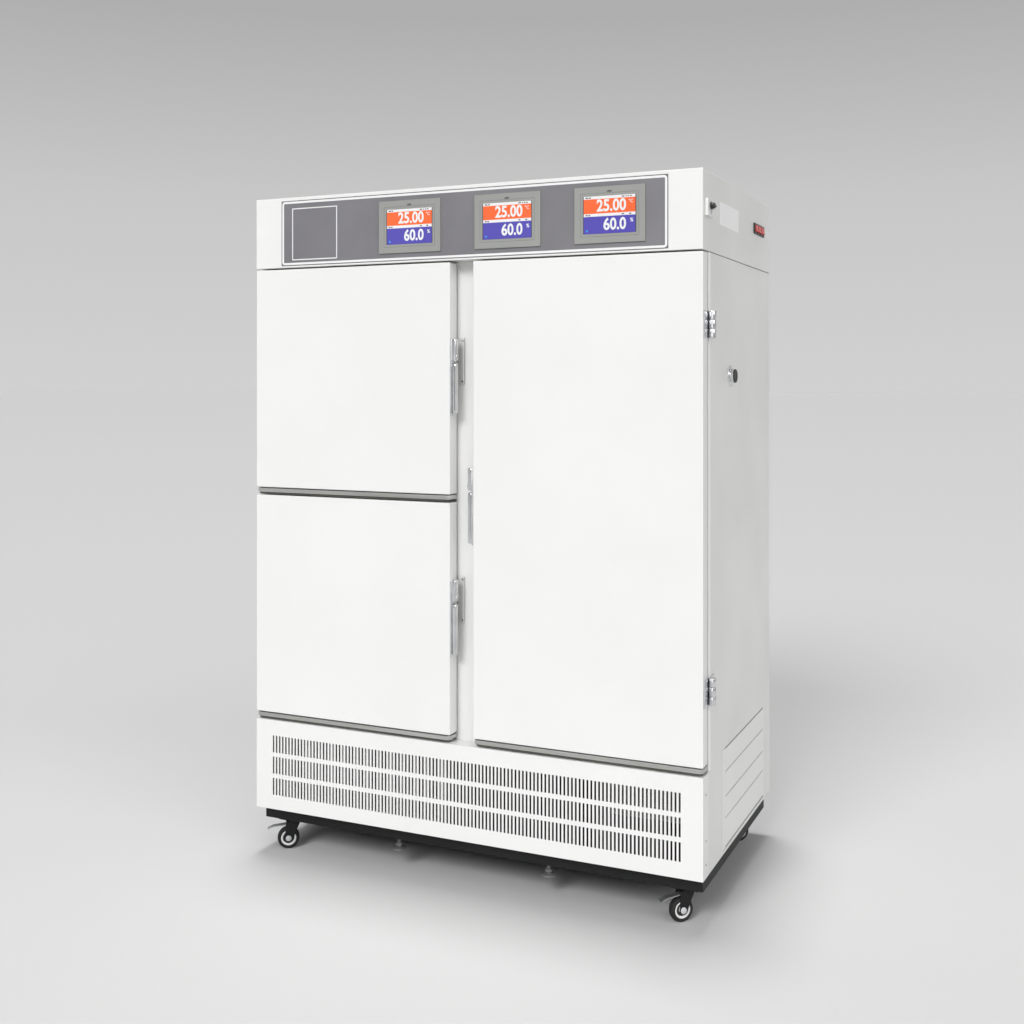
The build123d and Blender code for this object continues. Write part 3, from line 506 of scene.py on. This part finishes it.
# limiter knob: disc with a raised grip
knob_profile = ((0, 0), (0.0095, 0), (0.0100, 0.0008), (0.0100, 0.0022), (0.0085, 0.0034), (0.0080, 0.0060),
                (0.0078, 0.0082), (0.0066, 0.0100), (0.0040, 0.0109), (0, 0.0110))
bm = bmesh.new()
turned(bm, (half_w + 0.0094, knob_y, 1.841), (1, 0, 0), knob_profile, 36)
cube(bm, (half_w + 0.0120, -0.3538, 1.8372), (half_w + 0.0202, -0.3202, 1.8448), 0.0036, 4)
piece("knob_grip", bm, switch_black, "limiter_knob", "black_plastic", "limiter_knob")

# cable ports: flanged tube and pull-out plug on each chamber
ports = {"upper_left": (-1, 1.4097), "lower_left": (-1, 0.7457), "right": (1, 1.4090)}
port_y = -0.105
tube_profile = ((0.016, -0.056), (0.016, 0.0112), (0.0168, 0.012), (0.0182, 0.012), (0.019, 0.0112),
                (0.019, 0.0034), (0.0200, 0.0030), (0.0288, 0.0024), (0.0295, 0.0016), (0.0295, 0.0),
                (0.019, 0.0), (0.019, -0.056), (0.016, -0.056))
plug_profile = ((0, 0.0030), (0.0105, 0.0032), (0.0120, 0.0040), (0.0172, 0.0040), (0.0185, 0.0028),
                (0.0185, 0.0008), (0.0180, 0.0002), (0.01590, 0.0002), (0.01590, -0.0420),
                (0.0150, -0.0434), (0, -0.0434))
tubes = bmesh.new()
for key, (side, z) in ports.items():
    turned(tubes, (side * half_w, port_y, z), (side, 0, 0), tube_profile, 48)
    plug = bmesh.new()
    turned(plug, (side * (half_w + 0.0124), port_y, z), (side, 0, 0), plug_profile, 48)
    piece("port_plug_" + key + "_cap", plug, plug_silicone, "port_plug_" + key, "silicone",
          "port_plug_" + key)
piece("port_tubes", tubes, chrome, "cabinet", "chrome", "port_sleeves")

# doors: painted skin, steel band along the bottom, pan with a raised plug, hinges, latch and lever
doors = {"upper_left": (-1, 1.4626), "lower_left": (-1, 0.7986), "right": (1, 1.1082)}
hinge_up = {"upper_left": (0.110, 0.110), "lower_left": (0.110, 0.110), "right": (0.205, 0.184)}
hinge_x = half_w + 0.011
leaf_height = 0.070
barrel_height = 0.023
band_corner = 0.007
core_inset = 0.0045
latch_x = 0.0355
latch_y = -0.3695
cabinet_leaves = bmesh.new()
strikes = bmesh.new()
strike_screws = bmesh.new()


def chamfered(low_x, high_x, front_y, back_y, z, corner):
    return [(low_x, back_y, z), (low_x, front_y + corner, z), (low_x + corner, front_y, z),
            (high_x - corner, front_y, z), (high_x, front_y + corner, z), (high_x, back_y, z)]


def barrel(bm, side, z, low_y, high_y):
    drum(bm, (side * hinge_x, face_y, z), (0, 0, 1), 0.0095, barrel_height - 0.0002, 40, 0.0009)
    side_cube(bm, side, half_w + 0.0004, half_w + 0.0024, (face_y + low_y, z - barrel_height / 2 + 0.0005),
              (face_y + high_y, z + barrel_height / 2 - 0.0005))


for key, (side, lock_z) in doors.items():
    body = "door_" + key
    low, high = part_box("door_" + key)
    slab("skin_" + key, low, high, powder_white, body, "white_paint", "door_" + key, bevel=0.0028,
         segments=4)

    pan_low, pan_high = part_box("door_pan_" + key)
    front_y = pan_low.y + 0.001
    bm = bmesh.new()
    pulled(bm, chamfered(pan_low.x, pan_high.x, front_y, high.y, pan_low.z + 0.0055, band_corner),
           (0, 0, 0.0115), 0.0012)
    piece("band_" + key, bm, sheet_steel, body, "stainless")
    bm = bmesh.new()
    pulled(bm, chamfered(pan_low.x + core_inset, pan_high.x - core_inset, front_y + core_inset, high.y,
                         pan_low.z, band_corner + 0.002 - core_inset), (0, 0, 0.0202))
    piece("band_core_" + key, bm, rubber_and_seam_shade, body, "gasket")

    bm = bmesh.new()
    cube(bm, (pan_low.x, high.y, pan_low.z), (pan_high.x, high.y + 0.002, pan_high.z), 0.0005, 1)
    plug_left, plug_right = sorted((side * (half_w - 0.055), side * 0.0805))
    cube(bm, (plug_left + 0.006, high.y + 0.002, pan_low.z + 0.056),
         (plug_right - 0.006, pan_high.y, high.z - 0.056), 0.008, 4)
    piece("pan_" + key, bm, sheet_steel, body, "stainless", "door_pan_" + key)

    # gasket: flat strip with two raised lips, each given by inset, y, band, corner, height and edge
    seal = bmesh.new()
    ring_low, ring_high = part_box("door_gasket_" + key)
    for inset, lift, band, corner, proud, rim in (
            (0, 0.0012, 0.018, 0, 0.0012, 0), (0.002, 0.0034, 0.004, 0.006, 0.0024, 0.0007),
            (0.0085, 0.0035, 0.0065, 0, 0.0025, 0.0007)):
        outline(seal, ring_low.x + inset, ring_high.x - inset, ring_low.z + inset, ring_high.z - inset,
                ring_low.y + lift, band, corner, proud, rim)
    piece("seal_" + key, seal, seal_rubber, body, "gasket", "door_gasket_" + key)

    # hinges: the door's leaf and middle barrel, the cabinet's leaf and outer barrels
    leaves = bmesh.new()
    for at in (pan_low.z + hinge_up[key][0], high.z - hinge_up[key][1]):
        for leaf, low_y, high_y in ((leaves, -0.046, -0.006), (cabinet_leaves, 0.006, 0.050)):
            side_cube(leaf, side, half_w, half_w + 0.0025, (face_y + low_y, at - leaf_height / 2),
                      (face_y + high_y, at + leaf_height / 2), 0.0011, 3)
        barrel(leaves, side, at, -0.007, -0.002)
        for end in (-1, 1):
            barrel(cabinet_leaves, side, at + end * (leaf_height - barrel_height) / 2, 0.002, 0.007)
    piece("door_hinges_" + key, leaves, chrome, body, "chrome", "door_hardware_" + key)

    # latch on the door's inner edge: plate, head, lock, pivot pin, key slot and lower screw
    inward = (-side, 0, 0)
    pivot_z = lock_z - 0.026
    bm = bmesh.new()
    side_cube(bm, side, latch_x, latch_x - 0.005, (latch_y - 0.0105, lock_z - 0.162),
              (latch_y + 0.0105, lock_z + 0.050), 0.0022, 3)
    side_cube(bm, side, latch_x - 0.003, latch_x - 0.018, (latch_y - 0.0095, lock_z - 0.0125),
              (latch_y + 0.0095, lock_z + 0.049), 0.0042, 4)
    drum(bm, (side * (latch_x - 0.0180), latch_y, lock_z), inward, 0.0072, 0.0018, 32, 0.0006)
    drum(bm, (side * (latch_x - 0.0112), latch_y, pivot_z), inward, 0.0039, 0.0122, 24, 0.0008)
    piece("latch_head_" + key, bm, chrome, body, "chrome")
    bm = bmesh.new()
    side_cube(bm, side, latch_x - 0.0180, latch_x - 0.01896, (latch_y - 0.0009, lock_z - 0.0042),
              (latch_y + 0.0009, lock_z + 0.0042), 0.0003, 1)
    drum(bm, (side * (latch_x - 0.0049), latch_y, lock_z - 0.150), inward, 0.0030, 0.0006, 20)
    piece("key_slot_" + key, bm, switch_black, body, "black_plastic")

    arm_x = side * (latch_x - 0.0056)
    arm_outline = ((-0.0085, pivot_z), (-0.0068, pivot_z + 0.0062), (-0.003, pivot_z + 0.0085),
                   (0.003, pivot_z + 0.0085), (0.0068, pivot_z + 0.0062), (0.0085, pivot_z),
                   (0.0076, lock_z - 0.150), (0.0048, lock_z - 0.1585),
                   (-0.0048, lock_z - 0.1585), (-0.0076, lock_z - 0.150))
    bm = bmesh.new()
    pulled(bm, [(arm_x, latch_y + y, z) for y, z in arm_outline], (-side * 0.0116, 0, 0), 0.0024, 3)
    piece("lever_arm_" + key, bm, chrome, "lever_" + key, "chrome", "lever_" + key)

    # strike plate on the post, beside the latch
    strike_x = side * 0.0225
    strike_low = lock_z - 0.080
    strike_high = lock_z + 0.057
    cube(strikes, (strike_x - 0.010, face_y - 0.007, strike_low + 0.004),
         (strike_x + 0.010, face_y, strike_high - 0.004), 0.0032, 4)
    for at in (strike_low + 0.012, strike_high - 0.012):
        drum(strike_screws, (strike_x - side * 0.005, face_y - 0.0072, at), (0, -1, 0), 0.0032, 0.001, 20,
             0.0004, 1)
piece("cabinet_hinges", cabinet_leaves, chrome, "cabinet", "chrome", "cabinet_hardware")
piece("latch_strikes", strikes, strike_grey, "cabinet", "chrome")
piece("strike_screws", strike_screws, chrome, "cabinet", "chrome")

# casters: swivel head, bent fork, tyre, rim and hub cap, pedal on the front pair
casters = {"front_left": (-0.590, -0.306, 215.0), "front_right": (0.620, -0.306, 227.0),
           "rear_left": (-0.590, 0.306, 215.0), "rear_right": (0.620, 0.306, 227.0)}
axle_x = 0.022
axle_z = 0.0325
cheek_y = 0.0122
cheek_outline = ((-0.013, 0.0815), (0.029, 0.0815), (0.033, 0.0290), (0.0275, 0.0235), (0.0165, 0.0235),
                 (0.011, 0.0290))
tyre_profile = ((0.0215, -0.0095), (0.0265, -0.0110), (0.0302, -0.0095), (0.0320, -0.0060), (0.0325, 0),
                (0.0320, 0.0060), (0.0302, 0.0095), (0.0265, 0.0110), (0.0215, 0.0095), (0.0215, -0.0095))
rim_profile = ((0.0165, -0.0060), (0.0172, -0.0092), (0.0205, -0.0104), (0.0222, -0.0098),
               (0.0222, 0.0098), (0.0205, 0.0104), (0.0172, 0.0092), (0.0165, 0.0060), (0.0165, -0.0060))
web_profile = ((0.0042, -0.0060), (0.0168, -0.0060), (0.0168, 0.0060), (0.0042, 0.0060), (0.0042, -0.0060))
hub_profile = ((0.0042, 0.0055), (0.0095, 0.0055), (0.0095, 0.0085), (0.0080, 0.0104), (0.0042, 0.0109),
               (0.0042, 0.0055))
cap_profile = ((0, 0.0028), (0.0045, 0.0026), (0.0080, 0.0014), (0.0086, 0), (0, 0))
pedal_outline = ((-0.006, 0.0706), (0.028, 0.0706), (0.050, 0.0682), (0.069, 0.0662), (0.0826, 0.0602),
                 (0.0838, 0.0618), (0.0700, 0.0688), (0.050, 0.0710), (0.028, 0.0732), (-0.006, 0.0732))
for key, (x, y, turn) in casters.items():
    moved = Matrix.Translation((x, y, 0)) @ Matrix.Rotation(radians(turn), 4, "Z")
    axle = (axle_x, 0, axle_z)
    fork = "caster_fork_" + key
    bm = bmesh.new()
    drum(bm, (0, 0, 0.0856), (0, 0, 1), 0.023, 0.008, 40, 0.002, 3)
    drum(bm, (0, 0, 0.0806), (0, 0, 1), 0.0185, 0.004, 40, 0.001)
    cube(bm, (-0.013, -0.0146, 0.0797), (0.029, 0.0146, 0.0825), 0.0008)
    for end in (-1, 1):
        cheek = [(cheek_x, end * cheek_y, cheek_z) for cheek_x, cheek_z in cheek_outline]
        pulled(bm, cheek, (0, end * 0.0025, 0), 0.0007)
        drum(bm, (axle_x, end * 0.0157, axle_z), (0, end, 0), 0.0055, 0.002, 6, 0.0004, 1)
    drum(bm, axle, (0, 1, 0), 0.0038, 0.028, 24)
    piece("fork_" + key, bm, frame_black, fork, "black_paint", fork, moved=moved)

    wheel = "caster_wheel_" + key
    for ring, profile, steps, mat, slot, stands_for in (
            ("tyre_", tyre_profile, 56, tread_rubber, "tyre", (wheel,)),
            ("rim_", rim_profile, 48, rim_white, "white_plastic", ()),
            ("web_", web_profile, 32, switch_black, "black_plastic", ())):
        bm = bmesh.new()
        turned(bm, axle, (0, 1, 0), profile, steps)
        piece(ring + key, bm, mat, wheel, slot, *stands_for, moved=moved)
    for cap, cap_y, profile, steps, body in (("hub_", 0, hub_profile, 32, wheel),
                                             ("axle_cap_", 0.0148, cap_profile, 28, fork)):
        bm = bmesh.new()
        for end in (-1, 1):
            turned(bm, (axle_x, end * cap_y, axle_z), (0, end, 0), profile, steps)
        piece(cap + key, bm, hub_grey, body, "aluminium", moved=moved)
    if key.startswith("front"):
        pedal = "brake_pedal_" + key
        bm = bmesh.new()
        pulled(bm, [(pedal_x, -0.010, pedal_z) for pedal_x, pedal_z in pedal_outline], (0, 0.020, 0), 0.0006)
        drum(bm, (-0.004, 0, 0.072), (0, 1, 0), 0.0019, 0.027, 16)
        piece("pedal_" + key, bm, zinc, pedal, "galvanised", pedal, moved=moved)

# levelling feet: pad, neck and lock nut
foot_x = 0.232
foot_y = 0.312
foot_profile = ((0, 0), (0.0192, 0), (0.020, 0.001), (0.020, 0.004), (0.0188, 0.0056), (0.011, 0.0076),
                (0.0085, 0.0095), (0.006, 0.0100), (0.006, 0.072), (0, 0.072))
bm = bmesh.new()
for x in (-foot_x, foot_x):
    for y in (-foot_y, foot_y):
        turned(bm, (x, y, 0.052), (0, 0, 1), foot_profile, 36)
        drum(bm, (x, y, 0.068), (0, 0, 1), 0.0105, 0.008, 6, 0.0008, 1)
piece("foot_pads", bm, foot_grey, "levelling_feet", "galvanised", "levelling_feet")

# grille fittings: small screws on the panel's side returns
bm = bmesh.new()
for side in (-1, 1):
    for z in (0.168, 0.228, 0.345):
        drum(bm, (side * (half_w + 0.0003), -0.352, z), (side, 0, 0), 0.0032, 0.0010, 20, 0.0004, 1)
piece("grille_screws", bm, zinc, "cabinet", "galvanised")


# floor, world and lamps
def studio_object(name, bm, level):
    mesh = bpy.data.meshes.new(name)
    bm.to_mesh(mesh)
    bm.free()
    made = bpy.data.objects.new(name, mesh)
    scene.collection.objects.link(made)
    mat, _, shader = finish(name, (level, level, level), 0.9, Specular_IOR_Level=0.0)
    mesh.materials.append(mat)
    return made, shader


def only_reflected(made):
    made.visible_camera = False
    made.visible_diffuse = False
    made.visible_shadow = False


# painted light: the floor's colour gets lighter towards the camera
near_camera = (1.5, -3.4, 0)
near_reach = 3.0
near_full = 0.64
far_level = (0.505, 0.505, 0.505)
near_level = (0.58, 0.58, 0.58)
bm = bmesh.new()
bmesh.ops.create_grid(bm, x_segments=1, y_segments=1, size=160)
floor, shader = studio_object("studio_floor", bm, 0.6)
tree = shader.id_data
coords = tree.nodes.new("ShaderNodeTexCoord")
apart = tree.nodes.new("ShaderNodeVectorMath")
apart.operation = "DISTANCE"
apart.inputs[1].default_value = near_camera
closeness = tree.nodes.new("ShaderNodeMath")
closeness.operation = "DIVIDE"
closeness.inputs[0].default_value = near_reach
tree.links.new(coords.outputs["Object"], apart.inputs[0])
tree.links.new(apart.outputs["Value"], closeness.inputs[1])
tint(tree, shader, closeness.outputs["Value"], far_level, near_level, 0.0, near_full)

# the world lights evenly, while camera, glossy and transmitted rays see the backdrop's shades of grey
backdrop = ((0.0, 0.635), (0.145, 0.575), (0.285, 0.425))
zenith = 0.42
world = bpy.data.worlds.new("studio_world")
scene.world = world
world.use_nodes = True
tree = world.node_tree
tree.nodes.clear()
out = tree.nodes.new("ShaderNodeOutputWorld")
plain = tree.nodes.new("ShaderNodeBackground")
plain.inputs["Color"].default_value = (1.0, 1.0, 1.0, 1)
plain.inputs["Strength"].default_value = 0.20
seen = tree.nodes.new("ShaderNodeBackground")
coords = tree.nodes.new("ShaderNodeTexCoord")
upward = tree.nodes.new("ShaderNodeSeparateXYZ")
ramp = tree.nodes.new("ShaderNodeValToRGB")
for height, level in backdrop:
    step = ramp.color_ramp.elements[0] if height == 0 else ramp.color_ramp.elements.new(height)
    step.position = height
    step.color = (level, level, level, 1)
ramp.color_ramp.elements[-1].color = (zenith, zenith, zenith, 1)
path = tree.nodes.new("ShaderNodeLightPath")
rays = path.outputs["Is Camera Ray"]
for kind in ("Is Glossy Ray", "Is Transmission Ray"):
    either = tree.nodes.new("ShaderNodeMath")
    either.operation = "MAXIMUM"
    tree.links.new(rays, either.inputs[0])
    tree.links.new(path.outputs[kind], either.inputs[1])
    rays = either.outputs["Value"]
mix = tree.nodes.new("ShaderNodeMixShader")
tree.links.new(coords.outputs["Generated"], upward.inputs["Vector"])
tree.links.new(upward.outputs["Z"], ramp.inputs["Fac"])
tree.links.new(ramp.outputs["Color"], seen.inputs["Color"])
tree.links.new(rays, mix.inputs["Fac"])
tree.links.new(plain.outputs["Background"], mix.inputs[1])
tree.links.new(seen.outputs["Background"], mix.inputs[2])
tree.links.new(mix.outputs["Shader"], out.inputs["Surface"])


def sun(name, side, height, spread, power):
    data = bpy.data.lights.new(name, "SUN")
    data.angle = radians(spread)
    data.energy = power
    made = bpy.data.objects.new(name, data)
    scene.collection.objects.link(made)
    aim = Vector((sin(radians(side)) * cos(radians(height)), -cos(radians(side)) * cos(radians(height)),
                  sin(radians(height))))
    made.location = aim * 6
    made.rotation_euler = aim.to_track_quat("Z", "Y").to_euler()


sun("key_sun", -4, 35, 26, 1.96)
sun("fill_sun", 60, 30, 50, 1.12)
sun("top_sun", -150, 84, 12, 1.6)

# dark flags and a bright card, seen only in reflections
card_low = -0.2
card_high = 4.5
bm = bmesh.new()
cube(bm, (5.6, -1.0, card_low), (5.7, 0.6, card_high))
cube(bm, (4.2, -5.4, card_low), (4.3, -4.4, card_high))
cube(bm, (-1.9, -6.2, card_low), (-0.9, -6.1, card_high))
flag, _ = studio_object("studio_flags", bm, 0.01)
only_reflected(flag)

bm = bmesh.new()
cube(bm, (-0.6, -6.6, card_low), (2.6, -6.5, card_high))
card, shader = studio_object("studio_card", bm, 0.8)
shader.inputs["Emission Color"].default_value = (1, 1, 1, 1)
shader.inputs["Emission Strength"].default_value = 1.1
only_reflected(card)
